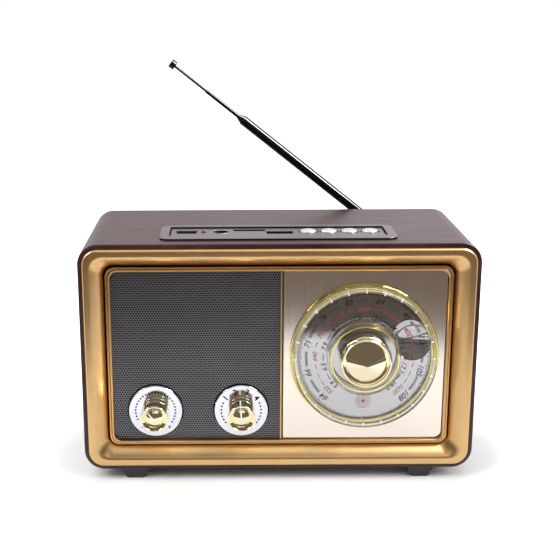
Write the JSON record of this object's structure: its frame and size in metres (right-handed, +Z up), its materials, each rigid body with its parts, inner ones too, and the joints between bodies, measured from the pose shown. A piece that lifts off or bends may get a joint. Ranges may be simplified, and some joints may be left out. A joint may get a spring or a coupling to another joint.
{
  "type": "tabletop radio",
  "caption": "Retro tabletop radio in a dark wooden sleeve with a gold moulded bezel, perforated grille, large turning dial with magnifier, small knobs, top buttons and telescopic antenna.",
  "frame": {"origin": "centre of the whole radio's box, on the surface that the feet stand on", "axes": "+X to the right seen from the front, +Y to the back, +Z up"},
  "size_m": [0.255, 0.153, 0.2648],
  "materials": {
    "wood": "dark mahogany foil, satin",
    "satin_gold": "satin champagne gold plating",
    "polished_gold": "polished gold plating on moulded plastic",
    "gunmetal": "gunmetal lacquer on perforated sheet",
    "brushed_aluminium": "upright brushed, champagne anodised",
    "scale_silver": "smooth silver white with printed scales",
    "clear_acrylic": "clear polished acrylic",
    "white_gloss": "gloss white with printed dots",
    "black_plastic": "fine textured black",
    "taupe_metallic": "taupe metallic lacquer, satin",
    "silver_plated": "satin silver plating",
    "chrome": "bright chrome plating",
    "steel": "plain steel",
    "zinc_can": "pressed can over a moulded body",
    "red_lens": "clear red",
    "rubber": "dark grey, matt",
    "board_green": "glass fibre board with parts",
    "paper": "black paper pulp",
    "ferrite": "sintered, dark grey",
    "cell_wrap": "blue shrink wrap"
  },
  "bodies": {
    "radio": {"cabinet": "wood", "foot_front_left": "rubber", "foot_front_right": "rubber", "foot_rear_left": "rubber", "foot_rear_right": "rubber", "front_bezel": "satin_gold", "front_baffle": "black_plastic", "speaker_grille": "gunmetal", "dial_plate": "brushed_aluminium", "scale_disc": "scale_silver", "dial_outer_ring": "polished_gold", "tuning_capacitor": "zinc_can", "volume_disc": "white_gloss", "volume_control": "zinc_can", "band_disc": "white_gloss", "band_switch": "zinc_can", "speaker_basket": "steel", "speaker_cone": "paper", "speaker_magnet": "ferrite", "top_panel": "taupe_metallic", "control_board": "board_green", "small_port": "steel", "wide_port": "steel", "card_socket": "steel", "headphone_jack": "silver_plated", "power_led": "red_lens", "rear_cover": "black_plastic", "battery_pack": "cell_wrap", "mains_inlet": "black_plastic", "rear_screw_1": "steel", "rear_screw_2": "steel", "rear_screw_3": "steel", "rear_screw_4": "steel", "main_board": "board_green", "power_transformer": "steel", "ferrite_aerial": "ferrite"},
    "tuning": {"tuning_knob": "polished_gold", "tuning_shaft": "steel", "dial_window": "clear_acrylic", "magnifier_lens": "clear_acrylic", "dial_inner_ring": "polished_gold"},
    "volume": {"volume_knob": "polished_gold", "volume_shaft": "steel"},
    "band": {"band_knob": "polished_gold", "band_shaft": "steel"},
    "button_1": {"top_button_1": "silver_plated"},
    "button_2": {"top_button_2": "silver_plated"},
    "button_3": {"top_button_3": "silver_plated"},
    "button_4": {"top_button_4": "silver_plated"},
    "door": {"battery_door": "black_plastic"},
    "swivel": {"antenna_swivel": "chrome", "antenna_hinge_pin": "steel"},
    "mast": {"antenna_knuckle": "chrome", "antenna_section_1": "chrome"},
    "section_2": {"antenna_section_2": "chrome"},
    "section_3": {"antenna_section_3": "chrome"},
    "section_4": {"antenna_section_4": "chrome"},
    "section_5": {"antenna_section_5": "chrome"},
    "section_6": {"antenna_section_6": "chrome"}
  },
  "joints": [
    {"name": "tuning_turn", "type": "hinge", "parent": "radio", "child": "tuning", "pos_m": [0.055, -0.06915, 0.0845], "axis": [0, 1, 0], "range_deg": [-202, 64]},
    {"name": "volume_turn", "type": "hinge", "parent": "radio", "child": "volume", "pos_m": [-0.08034, -0.06615, 0.0476], "axis": [0, 1, 0], "range_deg": [-100, 200]},
    {"name": "band_turn", "type": "hinge", "parent": "radio", "child": "band", "pos_m": [-0.02435, -0.06615, 0.0476], "axis": [0, 1, 0], "range_deg": [-30, 60]},
    {"name": "button_1_press", "type": "slide", "parent": "radio", "child": "button_1", "axis": [0, 0, -1], "range_m": [0, 0.001], "stiffness_N_per_m": 300, "springref_m": -0.001},
    {"name": "button_2_press", "type": "slide", "parent": "radio", "child": "button_2", "axis": [0, 0, -1], "range_m": [0, 0.001], "stiffness_N_per_m": 300, "springref_m": -0.001},
    {"name": "button_3_press", "type": "slide", "parent": "radio", "child": "button_3", "axis": [0, 0, -1], "range_m": [0, 0.001], "stiffness_N_per_m": 300, "springref_m": -0.001},
    {"name": "button_4_press", "type": "slide", "parent": "radio", "child": "button_4", "axis": [0, 0, -1], "range_m": [0, 0.001], "stiffness_N_per_m": 300, "springref_m": -0.001},
    {"name": "door_open", "type": "hinge", "parent": "radio", "child": "door", "pos_m": [0.01, 0.05985, 0.0269], "axis": [-1, 0, 0], "range_deg": [0, 100]},
    {"name": "antenna_swing", "type": "hinge", "parent": "radio", "child": "swivel", "pos_m": [0.0927, 0.06585, 0.132], "axis": [0, 1, 0], "range_deg": [-38, 141]},
    {"name": "antenna_tilt", "type": "hinge", "parent": "swivel", "child": "mast", "pos_m": [0.0927, 0.07135, 0.132], "axis": [-0.6205, 0, -0.7842], "range_deg": [0, 90]},
    {"name": "section_2_slide", "type": "slide", "parent": "mast", "child": "section_2", "axis": [-0.7842, 0, 0.6205], "range_m": [0, 0.11]},
    {"name": "section_3_slide", "type": "slide", "parent": "section_2", "child": "section_3", "axis": [-0.7842, 0, 0.6205], "range_m": [0, 0.11]},
    {"name": "section_4_slide", "type": "slide", "parent": "section_3", "child": "section_4", "axis": [-0.7842, 0, 0.6205], "range_m": [0, 0.11]},
    {"name": "section_5_slide", "type": "slide", "parent": "section_4", "child": "section_5", "axis": [-0.7842, 0, 0.6205], "range_m": [-0.0275, 0.08]},
    {"name": "section_6_slide", "type": "slide", "parent": "section_5", "child": "section_6", "axis": [-0.7842, 0, 0.6205], "range_m": [-0.027, 0.07]}
  ]
}
